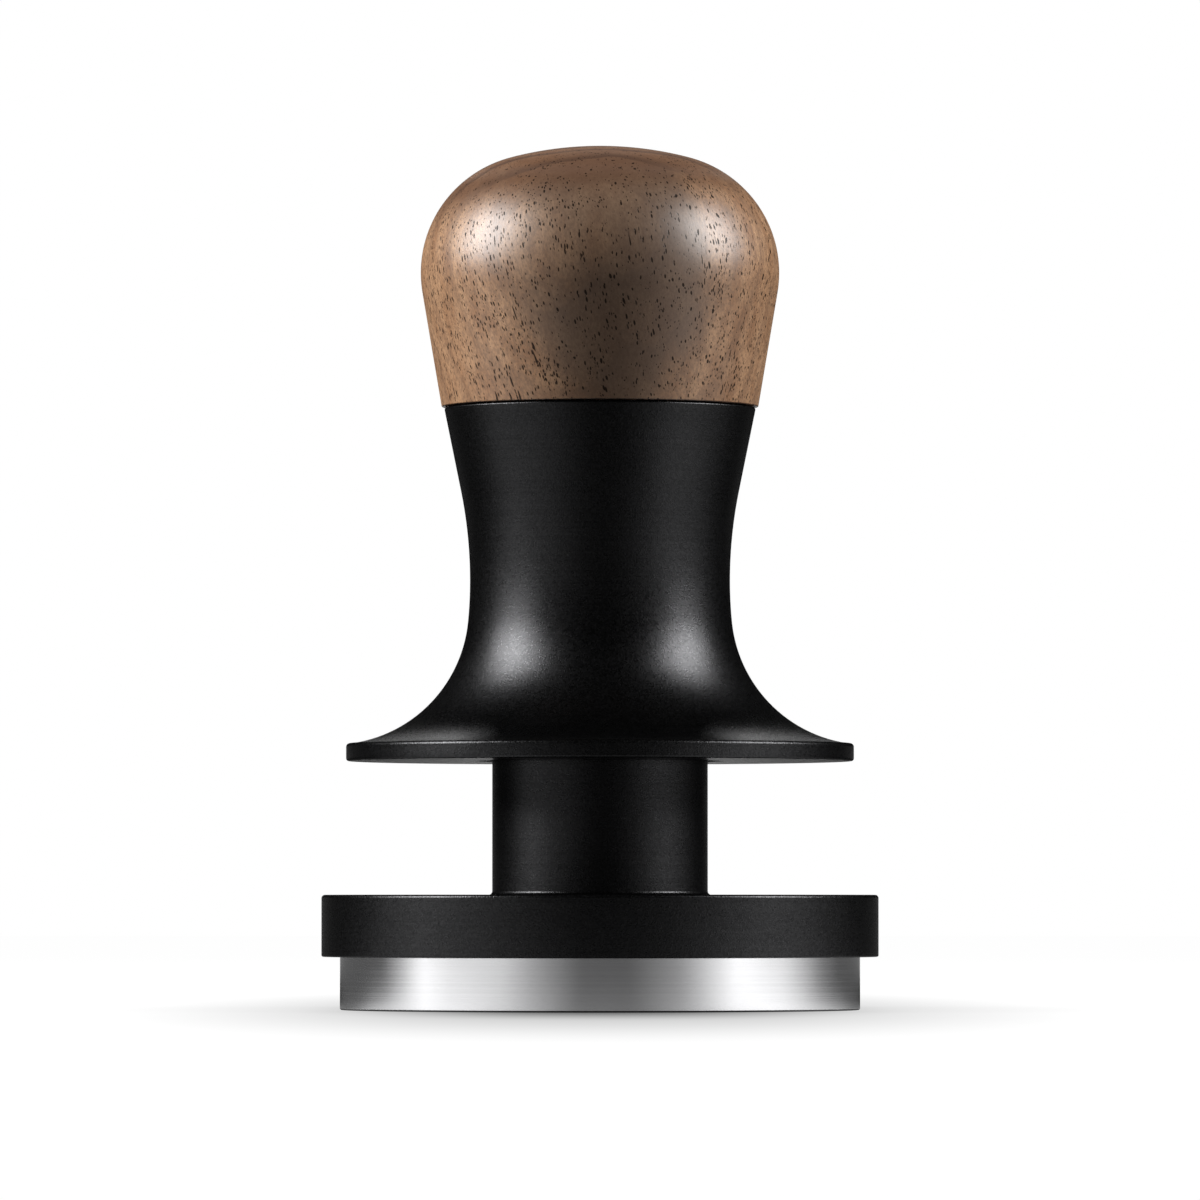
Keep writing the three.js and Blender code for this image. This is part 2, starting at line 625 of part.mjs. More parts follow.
const base = new THREE.Group();
base.add(
  part('tamper_base', tamperBase(), stainlessSteel),
  part('center_post', centerPost(), stainlessSteel),
  part('post_lock_washer', postLockWasher(), springSteel),
  part('levelling_spring', levellingSpring(), springSteel),
  part('main_spring', mainSpring(), springSteel),
  part('bumper_ring', bumperRing(), blackRubber),
  part('retaining_washer', retainingWasher(), stainlessSteel),
  part('retaining_screw', retainingScrew(), blackSteel),
);

const leveller = new THREE.Group();
leveller.add(
  part('levelling_ring', levellingRing(), blackAnodised),
  part('levelling_bush', levellingBush(), acetal),
  part('levelling_thrust_washer', levellingThrustWasher(), stainlessSteel),
);

const handle = new THREE.Group();
handle.add(
  part('handle_shell', handleShell(), blackAnodised),
  part('handle_guide_bush', handleGuideBush(), acetal),
  part('guide_bush_clip', guideBushClip(), springSteel),
  part('stem_bush', stemBush(), acetal),
  part('upper_spring_seat', upperSpringSeat(), stainlessSteel),
  part('knob_insert', knobInsert(), plainAluminium),
  part('knob', knob(), walnut),
);
for (let i = 0; i < KNOB_SCREW_COUNT; i++) {
  const screw = part(`knob_screw_${i + 1}`, knobScrew(), blackSteel);
  const [x, y] = screwPlace(i);
  screw.position.set(x, y, 0);
  handle.add(screw);
}

const tamper = new THREE.Group();
tamper.add(base, leveller, handle);

export default tamper;
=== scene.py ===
"""Looks of a spring-loaded, self-levelling espresso tamper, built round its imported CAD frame.

Every CAD node is replaced by a finer piece at the same place. Outlines are lists of
(radius, height) points in millimetres, and meshes are made in metres.
"""

import json
import math

import bpy
from mathutils import Euler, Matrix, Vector

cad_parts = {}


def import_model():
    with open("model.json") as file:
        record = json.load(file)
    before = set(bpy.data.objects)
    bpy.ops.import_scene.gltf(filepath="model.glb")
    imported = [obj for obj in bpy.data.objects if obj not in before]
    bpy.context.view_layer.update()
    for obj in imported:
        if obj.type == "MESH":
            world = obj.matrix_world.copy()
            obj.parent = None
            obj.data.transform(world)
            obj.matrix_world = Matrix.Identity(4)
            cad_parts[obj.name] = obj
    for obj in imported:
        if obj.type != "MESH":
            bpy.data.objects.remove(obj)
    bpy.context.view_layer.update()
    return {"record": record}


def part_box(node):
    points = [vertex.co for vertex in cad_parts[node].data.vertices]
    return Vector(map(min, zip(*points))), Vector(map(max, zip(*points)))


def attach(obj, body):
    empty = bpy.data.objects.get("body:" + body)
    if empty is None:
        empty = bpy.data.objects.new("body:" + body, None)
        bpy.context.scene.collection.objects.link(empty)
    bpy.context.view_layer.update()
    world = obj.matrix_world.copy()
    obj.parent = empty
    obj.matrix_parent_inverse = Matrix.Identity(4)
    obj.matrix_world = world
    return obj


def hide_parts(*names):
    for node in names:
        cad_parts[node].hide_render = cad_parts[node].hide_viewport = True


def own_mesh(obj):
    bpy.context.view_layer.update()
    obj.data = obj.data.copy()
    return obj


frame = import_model()

MM = 0.001
FULL_TURN = 2 * math.pi
SEGMENTS = 192              # columns round a large turned piece
SMALL_SEGMENTS = 96         # columns round a small one
SHARP_ANGLE = math.radians(28)


# ---------------------------------------------------------------------------------------------
# The frame's own measures
# ---------------------------------------------------------------------------------------------

class Extent:
    """A turned node's outer radius and its bottom and top, in millimetres."""

    def __init__(self, node):
        low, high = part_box(node)
        self.bottom = low[2] / MM
        self.top = high[2] / MM
        self.radius = (high[1] - low[1]) / 2 / MM
        self.x = (high[0] + low[0]) / 2 / MM
        self.y = (high[1] + low[1]) / 2 / MM


BASE = Extent("tamper_base")
POST = Extent("center_post")
RING = Extent("levelling_ring")
SHELL = Extent("handle_shell")
KNOB = Extent("knob")
INSERT = Extent("knob_insert")

# Inner and outer sizes that the boxes don't give, in millimetres
STUD_RADIUS = 4.85
STUD_TOP = BASE.top - 0.1
POST_RADIUS = 7.0
COLLAR_BOTTOM = 27.5
COLLAR_TOP = 30.5
WRENCH_FLAT = 6.1
STEM_RADIUS = 5.5
STEM_SHOULDER = 49.5
TIP_RADIUS = 4.0
RING_TOP = 12.9
NECK_RADIUS = 12.1
NECK_BORE = 10.3
BUSH_BORE = 9.0
FLANGE_TOP = SHELL.bottom + 2.0
SHELL_BORE = 12.9
WEB_BOTTOM = 58.0
WEB_TOP = 61.5
INSERT_THREAD = 14.0
INSERT_SHELF = 67.8
INSERT_BORE = 8.5
COARSE_STEP = 0.19          # rise from row to row in a 1.5 mm thread
FINE_STEP = 0.1             # and in a 0.8 mm one
KNOB_GAP = 0.1              # slit that shows between the shell's rim and the knob's foot
EDGE = 0.3


# ---------------------------------------------------------------------------------------------
# Mesh helpers
# ---------------------------------------------------------------------------------------------

def arc(centre_radius, centre_height, radius, start, end, steps):
    """Points on an arc in the (radius, height) plane, angles in degrees from outward to up."""
    points = []
    for i in range(steps + 1):
        angle = math.radians(start + (end - start) * i / steps)
        points.append((centre_radius + radius * math.cos(angle),
                       centre_height + radius * math.sin(angle)))
    return points


def rows(radius, bottom, top, step, section):
    """Evenly spaced points up or down a cylinder, for a stretch whose section isn't round."""
    count = max(2, round(abs(top - bottom) / step))
    return [(radius, bottom + (top - bottom) * i / count, section) for i in range(count + 1)]


def thread(pitch, depth):
    """Section of a screw thread: a V groove that winds round once per pitch."""
    def section(radius, angle, height):
        phase = (height / pitch - angle / FULL_TURN) % 1.0
        return radius - depth * abs(2 * phase - 1)
    return section


def hexagon(radius, angle, height):
    """Hexagon whose corners lie on the circle."""
    sector = FULL_TURN / 6
    return radius * math.cos(sector / 2) / math.cos(angle % sector - sector / 2)


def cross(radius, angle, height):
    """Cross recess whose arms are a quarter as wide as they are long."""
    half_width = radius / 4
    along_x = min(radius, half_width / max(abs(math.sin(angle)), 1e-6))
    along_y = min(radius, half_width / max(abs(math.cos(angle)), 1e-6))
    return max(along_x, along_y)


def two_flats(radius, angle, height):
    """Round section with two parallel wrench flats."""
    return min(radius, WRENCH_FLAT / max(abs(math.cos(angle)), 1e-6))


def mesh_piece(name, vertices, faces):
    """A smooth-shaded object from vertices in millimetres, sharp where its faces fold."""
    mesh = bpy.data.meshes.new(name)
    mesh.from_pydata([Vector(v) * MM for v in vertices], [], faces)
    mesh.validate()
    piece = bpy.data.objects.new(name, mesh)
    bpy.context.scene.collection.objects.link(piece)
    smooth(piece)
    return piece


def smooth(piece):
    """Smooth shading that keeps flat faces flat beside their rounded edges."""
    piece.data.shade_smooth()
    piece.data.set_sharp_from_angle(angle=SHARP_ANGLE)
    if not piece.modifiers:
        weighted = piece.modifiers.new("flat_faces", "WEIGHTED_NORMAL")
        weighted.keep_sharp = True


def turned(name, outline, segments=SEGMENTS, place=(0, 0)):
    """Revolves an outline about a vertical axis. It runs up the outside, and either starts and
    ends on the axis or closes on itself. A third item in a point shapes its section."""
    vertices = []
    levels = []
    for radius, height, *section in outline:
        columns = 1 if radius == 0 else segments
        levels.append((len(vertices), columns))
        for j in range(columns):
            angle = FULL_TURN * j / segments
            reach = section[0](radius, angle, height) if section else radius
            vertices.append((place[0] + reach * math.cos(angle),
                             place[1] + reach * math.sin(angle), height))
    pairs = list(zip(levels, levels[1:]))
    if outline[0][0] > 0:
        pairs.append((levels[-1], levels[0]))
    faces = []
    for (low, low_columns), (high, high_columns) in pairs:
        for j in range(segments):
            k = (j + 1) % segments
            if low_columns == 1:
                faces.append((low, high + k, high + j))
            elif high_columns == 1:
                faces.append((low + j, low + k, high))
            else:
                faces.append((low + j, low + k, high + k, high + j))
    return mesh_piece(name, vertices, faces)


def swept_ring(name, section, start, end, steps, lift=0.0):
    """Sweeps a closed (radius, height) section from one angle to another and caps both ends.
    The whole ring climbs by lift on the way."""
    vertices = []
    for i in range(steps + 1):
        share = i / steps
        angle = start + (end - start) * share
        for radius, height in section:
            vertices.append((radius * math.cos(angle), radius * math.sin(angle),
                             height + lift * (share - 0.5)))
    count = len(section)
    faces = [tuple(range(count)), tuple(steps * count + j for j in reversed(range(count)))]
    for i in range(steps):
        for j in range(count):
            k = (j + 1) % count
            low = i * count
            faces.append((low + k, low + j, low + count + j, low + count + k))
    return mesh_piece(name, vertices, faces)


def drilled(piece, cutters):
    """The piece with each cutter's shape taken out of it."""
    piece.modifiers.clear()
    for cutter in cutters:
        hole = piece.modifiers.new("hole", "BOOLEAN")
        hole.operation = "DIFFERENCE"
        hole.solver = "EXACT"
        hole.object = cutter
    bpy.context.view_layer.update()
    evaluated = piece.evaluated_get(bpy.context.evaluated_depsgraph_get())
    mesh = bpy.data.meshes.new_from_object(evaluated)
    piece.modifiers.clear()
    piece.data = mesh
    for cutter in cutters:
        bpy.data.objects.remove(cutter, do_unlink=True)
    smooth(piece)
    return piece


# ---------------------------------------------------------------------------------------------
# Base and post
# ---------------------------------------------------------------------------------------------

def tamper_base():
    round_edge = 0.22
    hole = STUD_RADIUS + 0.45
    counterbore = 8.1
    counterbore_floor = BASE.top - 1.3
    floor = 1.8
    inner_thread = thread(1.5, 0.45)
    return turned("tamper_base_steel", [
        (0, BASE.bottom),
        *arc(BASE.radius - round_edge, BASE.bottom + round_edge, round_edge, -90, 0, 5),
        *arc(BASE.radius - round_edge, BASE.top - round_edge, round_edge, 0, 90, 5),
        (counterbore + 0.3, BASE.top),
        (counterbore, BASE.top - 0.3),
        (counterbore, counterbore_floor),
        (hole + 0.4, counterbore_floor),
        *rows(hole, counterbore_floor - 0.4, floor + 0.4, COARSE_STEP, inner_thread),
        (hole - 0.45, floor),
        (0, floor),
    ])


def center_post():
    outer_thread = thread(1.5, 0.6)
    inner_thread = thread(0.8, 0.3)
    hole = 2.75
    hole_bottom = POST.top - 12.0
    flat_bottom = 22.4
    flat_top = 27.0
    return turned("center_post_steel", [
        (0, POST.bottom),
        (STUD_RADIUS - 0.8, POST.bottom),
        *rows(STUD_RADIUS, POST.bottom + 0.8, STUD_TOP - 0.5, COARSE_STEP, outer_thread),
        (STUD_RADIUS - 0.6, STUD_TOP),
        *arc(POST_RADIUS - EDGE, STUD_TOP + EDGE, EDGE, -90, 0, 3),
        (POST_RADIUS, flat_bottom),
        (POST_RADIUS, flat_bottom, two_flats),
        (POST_RADIUS, flat_top, two_flats),
        (POST_RADIUS, flat_top),
        (POST_RADIUS, COLLAR_BOTTOM),
        *arc(10.0 - EDGE, COLLAR_BOTTOM + EDGE, EDGE, -90, 0, 3),
        *arc(10.0 - EDGE, COLLAR_TOP - EDGE, EDGE, 0, 90, 3),
        *arc(STEM_RADIUS + 0.4, COLLAR_TOP + 0.4, 0.4, -90, -180, 3),
        *arc(STEM_RADIUS - EDGE, STEM_SHOULDER - EDGE, EDGE, 0, 90, 3),
        *arc(TIP_RADIUS + 0.2, STEM_SHOULDER + 0.2, 0.2, -90, -180, 3),
        *arc(TIP_RADIUS - EDGE, POST.top - EDGE, EDGE, 0, 90, 3),
        (hole + 0.3, POST.top),
        *rows(hole, POST.top - 0.3, hole_bottom + 0.3, FINE_STEP, inner_thread),
        (hole - 0.3, hole_bottom),
        (0, hole_bottom - 1.2),
    ], SMALL_SEGMENTS)


def post_lock_washer():
    washer = Extent("post_lock_washer")
    bore = 5.2
    section = [(bore, washer.bottom), (washer.radius, washer.bottom + 0.05),
               (washer.radius, washer.top), (bore, washer.top - 0.05)]
    return swept_ring("post_lock_washer_steel", section, 0.1, FULL_TURN - 0.1, 96, lift=0.08)


# ---------------------------------------------------------------------------------------------
# Levelling ring
# ---------------------------------------------------------------------------------------------

def levelling_ring():
    underside = BASE.top + 0.1
    recess = 29.5
    top_round = 0.38
    low_round = 0.2
    fillet = 0.42
    return turned("levelling_ring_black", [
        (recess + 0.1, RING.bottom),
        *arc(RING.radius - low_round, RING.bottom + low_round, low_round, -90, 0, 4),
        *arc(RING.radius - top_round, RING_TOP - top_round, top_round, 0, 90, 6),
        *arc(NECK_RADIUS + fillet, RING_TOP + fillet, fillet, -90, -180, 5),
        *arc(NECK_RADIUS - EDGE, RING.top - EDGE, EDGE, 0, 90, 4),
        (NECK_BORE + 0.2, RING.top),
        (NECK_BORE, RING.top - 0.2),
        (NECK_BORE, RING_TOP),
        (BUSH_BORE, RING_TOP),
        (BUSH_BORE, underside),
        (recess - 0.3, underside),
        (recess, underside - 0.3),
        (recess, RING.bottom + 0.1),
    ])


def levelling_bush():
    bush = Extent("levelling_bush")
    bore = POST_RADIUS + 0.12
    body = BUSH_BORE - 0.1
    shelf = RING_TOP + 0.1
    return turned("levelling_bush_acetal", [
        (bore + 0.3, bush.bottom),
        (body - 0.3, bush.bottom),
        (body, bush.bottom + 0.3),
        (body, shelf),
        (bush.radius, shelf),
        *arc(bush.radius - EDGE, bush.top - EDGE, EDGE, 0, 90, 3),
        (bore + 0.3, bush.top),
        (bore, bush.top - 0.3),
        (bore, bush.bottom + 0.3),
    ], SMALL_SEGMENTS)


def flat_washer(node, name, bore, edge):
    washer = Extent(node)
    return turned(name, [
        (bore + edge, washer.bottom),
        *arc(washer.radius - edge, washer.bottom + edge, edge, -90, 0, 3),
        *arc(washer.radius - edge, washer.top - edge, edge, 0, 90, 3),
        (bore + edge, washer.top),
        (bore, washer.top - edge),
        (bore, washer.bottom + edge),
    ], SMALL_SEGMENTS)


# ---------------------------------------------------------------------------------------------
# Springs
# ---------------------------------------------------------------------------------------------

def coil(node, name, wire, active):
    """A compression spring with closed ends, ground flat."""
    spring = Extent(node)
    radius = spring.radius - wire / 2
    tip = 0.2 * wire                     # the ground tip's centre above the seat
    dead_rise = 1.02 * wire              # rise of the one closed turn at each end
    turns = active + 2
    pitch = (spring.top - spring.bottom - 2 * (tip + dead_rise)) / active
    steps_per_turn = 48
    sides = 18
    steps = turns * steps_per_turn

    def height(turn):
        low = min(turn, 1.0) * dead_rise
        middle = min(max(turn - 1.0, 0.0), active) * pitch
        high = max(turn - 1.0 - active, 0.0) * dead_rise
        return spring.bottom + tip + low + middle + high

    vertices = []
    for i in range(steps + 1):
        turn = i / steps_per_turn
        angle = FULL_TURN * turn
        for j in range(sides):
            around = FULL_TURN * j / sides
            reach = radius + wire / 2 * math.cos(around)
            level = height(turn) + wire / 2 * math.sin(around)
            level = min(max(level, spring.bottom), spring.top)
            vertices.append((reach * math.cos(angle), reach * math.sin(angle), level))
    faces = [tuple(range(sides)), tuple(steps * sides + j for j in reversed(range(sides)))]
    for i in range(steps):
        for j in range(sides):
            k = (j + 1) % sides
            low = i * sides
            faces.append((low + k, low + j, low + sides + j, low + sides + k))
    return mesh_piece(name, vertices, faces)


# ---------------------------------------------------------------------------------------------
# Handle
# ---------------------------------------------------------------------------------------------

def shell_side():
    """The shell's outside from the flange's top to its rim: flare, waist and cone."""
    waist_radius = 14.6
    waist_height = 48.15
    upper_arc = 50.7
    cone_angle = 11.2
    lower_arc = 47.3
    lower_angle = 5.6
    flare_arc = 15.3
    tilt = math.radians(lower_angle)
    start_radius = waist_radius + lower_arc * (1 - math.cos(tilt))
    start_height = waist_height - lower_arc * math.sin(tilt)
    flare_radius = start_radius + flare_arc * math.cos(tilt)
    flare_height = start_height + flare_arc * math.sin(tilt)
    flare_end = math.degrees(math.asin((flare_height - FLANGE_TOP) / flare_arc))
    flare = arc(flare_radius, flare_height, flare_arc, -180 + flare_end, -180 + lower_angle, 28)
    lower = arc(waist_radius + lower_arc, waist_height, lower_arc, -180 + lower_angle, -180, 8)
    upper = arc(waist_radius + upper_arc, waist_height, upper_arc, 180, 180 - cone_angle, 12)
    cone_radius, cone_height = upper[-1]
    slope = math.tan(math.radians(cone_angle))
    top_radius = cone_radius + (SHELL.top - cone_height) * slope
    rim_round = 0.22
    rim = arc(top_radius - rim_round, SHELL.top - rim_round, rim_round, -cone_angle, 90, 5)
    return flare + lower[1:] + upper[1:] + rim


def handle_shell():
    counterbore = 13.6
    groove = 14.2
    groove_bottom = 28.5
    groove_top = 29.5
    bush_seat = 36.2
    stem_hole = 5.7
    corner = 0.3
    top_corner = 0.42
    mouth = INSERT_THREAD + 0.6
    inner_thread = thread(1.5, 0.5)
    return turned("handle_shell_black", [
        (counterbore + 0.4, SHELL.bottom),
        *arc(SHELL.radius - corner, SHELL.bottom + corner, corner, -90, 0, 5),
        *arc(SHELL.radius - top_corner, FLANGE_TOP - top_corner, top_corner, 0, 90, 7),
        *shell_side(),
        (mouth + 0.3, SHELL.top),
        *rows(mouth, SHELL.top - 0.3, WEB_TOP + 1.0, COARSE_STEP, inner_thread),
        (mouth, WEB_TOP + 0.9),
        (mouth, WEB_TOP),
        (stem_hole, WEB_TOP),
        (stem_hole, WEB_BOTTOM),
        (SHELL_BORE, WEB_BOTTOM),
        (SHELL_BORE, bush_seat),
        (counterbore, bush_seat),
        (counterbore, groove_top),
        (groove, groove_top),
        (groove, groove_bottom),
        (counterbore, groove_bottom),
        (counterbore, SHELL.bottom + 0.4),
    ])


def handle_guide_bush():
    bush = Extent("handle_guide_bush")
    bore = NECK_RADIUS + 0.12
    return turned("handle_guide_bush_acetal", [
        (bore + 0.4, bush.bottom),
        (bush.radius - EDGE, bush.bottom),
        (bush.radius, bush.bottom + EDGE),
        (bush.radius, bush.top - EDGE),
        (bush.radius - EDGE, bush.top),
        (bore + 0.4, bush.top),
        (bore, bush.top - 0.4),
        (bore, bush.bottom + 0.4),
    ], SMALL_SEGMENTS * 2)


def guide_bush_clip():
    clip = Extent("guide_bush_clip")
    bore = 12.7
    edge = 0.08
    opening = 0.35
    section = [
        (bore + edge, clip.bottom), (clip.radius - edge, clip.bottom),
        (clip.radius, clip.bottom + edge), (clip.radius, clip.top - edge),
        (clip.radius - edge, clip.top), (bore + edge, clip.top),
        (bore, clip.top - edge), (bore, clip.bottom + edge),
    ]
    return swept_ring("guide_bush_clip_steel", section, opening, FULL_TURN - opening, 128)


def stem_bush():
    bush = Extent("stem_bush")
    bore = TIP_RADIUS + 0.12
    body = 5.6
    shelf = WEB_TOP + 0.1
    return turned("stem_bush_acetal", [
        (bore + 0.25, bush.bottom),
        (body - 0.25, bush.bottom),
        (body, bush.bottom + 0.25),
        (body, shelf),
        (bush.radius, shelf),
        (bush.radius, bush.top - 0.15),
        (bush.radius - 0.15, bush.top),
        (bore + 0.2, bush.top),
        (bore, bush.top - 0.2),
        (bore, bush.bottom + 0.25),
    ], SMALL_SEGMENTS)


# ---------------------------------------------------------------------------------------------
# Top stop
# ---------------------------------------------------------------------------------------------

def bumper_ring():
    ring = Extent("bumper_ring")
    bore = 4.4
    half = (ring.top - ring.bottom) / 2
    return turned("bumper_ring_rubber", [
        *arc(ring.radius - half, ring.bottom + half, half, -90, 90, 10),
        *arc(bore + half, ring.bottom + half, half, 90, 270, 10),
    ], SMALL_SEGMENTS)


def retaining_screw():
    screw = Extent("retaining_screw")
    head_bottom = screw.top - 2.8
    shank = 2.5
    socket = 1.75
    socket_floor = screw.top - 1.5
    return turned("retaining_screw_black", [
        (0, screw.bottom),
        (shank - 0.5, screw.bottom),
        *rows(shank, screw.bottom + 0.4, head_bottom - 0.3, FINE_STEP, thread(0.8, 0.4)),
        (shank - 0.2, head_bottom),
        (screw.radius - 0.15, head_bottom),
        (screw.radius, head_bottom + 0.15),
        *arc(screw.radius - 0.4, screw.top - 0.4, 0.4, 0, 90, 5),
        (socket + 0.15, screw.top),
        (socket, screw.top - 0.1, hexagon),
        (socket, socket_floor, hexagon),
        (0, socket_floor - 0.5),
    ], SMALL_SEGMENTS)


# ---------------------------------------------------------------------------------------------
# Knob
# ---------------------------------------------------------------------------------------------

def screw_places():
    """Where the knob's screws stand, from their CAD boxes."""
    return [(Extent(f"knob_screw_{i}").x, Extent(f"knob_screw_{i}").y) for i in (1, 2, 3)]


def knob_insert():
    shelf_round = 0.25
    piece = turned("knob_insert_aluminium", [
        (INSERT_BORE + 0.3, INSERT.bottom),
        (INSERT_THREAD - 0.7, INSERT.bottom),
        *rows(INSERT_THREAD, INSERT.bottom + 0.6, INSERT_SHELF - 0.9, COARSE_STEP, thread(1.5, 0.6)),
        (INSERT_THREAD - 0.6, INSERT_SHELF - 0.8),
        (INSERT_THREAD - 0.6, INSERT_SHELF),
        *arc(INSERT.radius - shelf_round, INSERT_SHELF + shelf_round, shelf_round, -90, 0, 3),
        *arc(INSERT.radius - shelf_round, INSERT.top - shelf_round, shelf_round, 0, 90, 3),
        (INSERT_BORE + 0.3, INSERT.top),
        (INSERT_BORE, INSERT.top - 0.3),
        (INSERT_BORE, INSERT.bottom + 0.3),
    ])
    hole = 1.3
    sink = 2.45
    cutters = [turned(f"insert_cutter_{i}", [
        (0, INSERT.bottom - 1),
        (sink, INSERT.bottom - 1),
        (sink, INSERT.bottom + 0.1),
        (hole, INSERT.bottom + 0.1 + sink - hole),
        (hole, INSERT.top + 1),
        (0, INSERT.top + 1),
    ], 32, place) for i, place in enumerate(screw_places())]
    return drilled(piece, cutters)


def knob_screw(number):
    screw = Extent(f"knob_screw_{number}")
    head = screw.radius
    crest = 1.15
    core = 0.8
    recess = 1.3
    point = 2.5
    head_top = screw.bottom + 0.15 + head - core

    def taper(height):
        return crest * max(0.2, min(1.0, (screw.top - height) / point))

    wood_thread = thread(1.1, crest - core)
    shank = [(taper(z), z, wood_thread) for _, z, _ in
             rows(crest, head_top + 3.0, screw.top - 0.4, 0.14, wood_thread)]
    return turned(f"knob_screw_{number}_black", [
        (0, screw.bottom + 1.1),
        (recess * 0.45, screw.bottom + 0.9, cross),
        (recess, screw.bottom, cross),
        (head - 0.15, screw.bottom),
        (head, screw.bottom + 0.15),
        (core, head_top),
        (core, head_top + 2.8),
        *shank,
        (0, screw.top),
    ], SMALL_SEGMENTS, (screw.x, screw.y))


def knob():
    cone_angle = 9.6
    shoulder_arc = 13.3
    crown_arc = 39.6
    crown_angle = 15.1
    foot_round = 0.14
    tilt = math.radians(crown_angle)
    crown_centre = KNOB.top - crown_arc
    shoulder_radius = (crown_arc - shoulder_arc) * math.sin(tilt)
    shoulder_height = crown_centre + (crown_arc - shoulder_arc) * math.cos(tilt)
    shoulder = arc(shoulder_radius, shoulder_height, shoulder_arc,
                   -cone_angle, 90 - crown_angle, 36)
    crown = arc(0, crown_centre, crown_arc, 90 - crown_angle, 90, 16)
    cone_radius, cone_height = shoulder[0]
    foot_height = SHELL.top + KNOB_GAP + foot_round
    slope = math.tan(math.radians(cone_angle))
    foot_radius = cone_radius - (cone_height - foot_height) * slope
    cone_steps = 12
    cone = [(foot_radius + (cone_radius - foot_radius) * i / cone_steps,
             foot_height + (cone_height - foot_height) * i / cone_steps)
            for i in range(1, cone_steps)]
    pocket = INSERT.radius + 0.15
    pocket_top = INSERT.top + 0.1
    cavity = INSERT_BORE + 0.1
    cavity_top = 76.6
    piece = turned("knob_walnut", [
        (0, cavity_top + 1.5),
        (cavity, cavity_top),
        (cavity, pocket_top),
        (pocket, pocket_top),
        (pocket, KNOB.bottom),
        (foot_radius - 2.5, KNOB.bottom),
        (foot_radius - 2.0, foot_height - foot_round),
        *arc(foot_radius - foot_round, foot_height, foot_round, -90, 0, 4),
        *cone,
        *shoulder,
        *crown[1:-1],
        (0, KNOB.top),
    ])
    pilot = 1.3
    pilot_top = Extent("knob_screw_1").top + 0.3
    cutters = [turned(f"pilot_cutter_{i}", [
        (0, INSERT.top - 1),
        (pilot, INSERT.top - 1),
        (pilot, pilot_top - 1),
        (0, pilot_top),
    ], 24, place) for i, place in enumerate(screw_places())]
    return drilled(piece, cutters)


# ---------------------------------------------------------------------------------------------
# Materials
# ---------------------------------------------------------------------------------------------

class Look:
    """A material with a Principled shader, and short calls to add nodes to it."""

    def __init__(self, name, **fixed):
        self.material = bpy.data.materials.new(name)
        self.material.use_nodes = True
        self.tree = self.material.node_tree
        self.shader = self.tree.nodes["Principled BSDF"]
        for socket, value in fixed.items():
            self.shader.inputs[socket.replace("_", " ")].default_value = value
        place = self.tree.nodes.new("ShaderNodeTexCoord").outputs["Object"]
        self.mm = self.math_vector("SCALE", place, scale=1 / MM)

    def add(self, kind, inputs, **settings):
        node = self.tree.nodes.new(kind)
        for key, value in settings.items():
            setattr(node, key, value)
        for key, value in inputs.items():
            if isinstance(value, bpy.types.NodeSocket):
                self.tree.links.new(value, node.inputs[key])
            else:
                node.inputs[key].default_value = value
        return node

    def math(self, operation, first, second=0.0):
        return self.add("ShaderNodeMath", {0: first, 1: second}, operation=operation).outputs[0]

    def math_vector(self, operation, first, second=(0, 0, 0), scale=1.0):
        inputs = {0: first, "Scale": scale} if operation == "SCALE" else {0: first, 1: second}
        node = self.add("ShaderNodeVectorMath", inputs, operation=operation)
        return node.outputs["Value" if operation in ("LENGTH", "DOT_PRODUCT") else "Vector"]

    def stretched(self, vector, stretch, turn=(0, 0, 0)):
        return self.add("ShaderNodeMapping", {
            "Vector": vector, "Scale": stretch, "Rotation": turn,
        }).outputs[0]

    def noise(self, vector, scale, detail=2.0, roughness=0.5):
        return self.add("ShaderNodeTexNoise", {
            "Vector": vector, "Scale": scale, "Detail": detail, "Roughness": roughness,
        }).outputs["Fac"]

    def ramp(self, value, low, high, start, end):
        """Runs from start to end while value runs from low to high, smoothly."""
        return self.add("ShaderNodeMapRange", {
            "Value": value, "From Min": low, "From Max": high, "To Min": start, "To Max": end,
        }, interpolation_type="SMOOTHSTEP").outputs[0]

    def mix(self, share, first, second):
        node = self.add("ShaderNodeMix", {}, data_type="RGBA")
        for key, value in {0: share, 6: first, 7: second}.items():
            if isinstance(value, bpy.types.NodeSocket):
                self.tree.links.new(value, node.inputs[key])
            else:
                node.inputs[key].default_value = value if key == 0 else (*value, 1.0)
        return node.outputs[2]

    def radius(self):
        """Distance from the tamper's axis, in millimetres."""
        flat = self.math_vector("MULTIPLY", self.mm, (1, 1, 0))
        return self.math_vector("LENGTH", flat)

    def turning_marks(self, per_mm):
        """Fine rings that follow the lathe: noise that depends on radius and height only."""
        height = self.add("ShaderNodeSeparateXYZ", {0: self.mm}).outputs[2]
        place = self.add("ShaderNodeCombineXYZ", {0: self.radius(), 1: height, 2: 0.0}).outputs[0]
        return self.noise(place, per_mm, 3.0, 0.6)

    def bump(self, height, distance, strength, below=None):
        inputs = {"Height": height, "Distance": distance * MM, "Strength": strength}
        if below is not None:
            inputs["Normal"] = below
        return self.add("ShaderNodeBump", inputs).outputs[0]

    def set(self, **sockets):
        for socket, value in sockets.items():
            self.tree.links.new(value, self.shader.inputs[socket.replace("_", " ")])
        return self.material


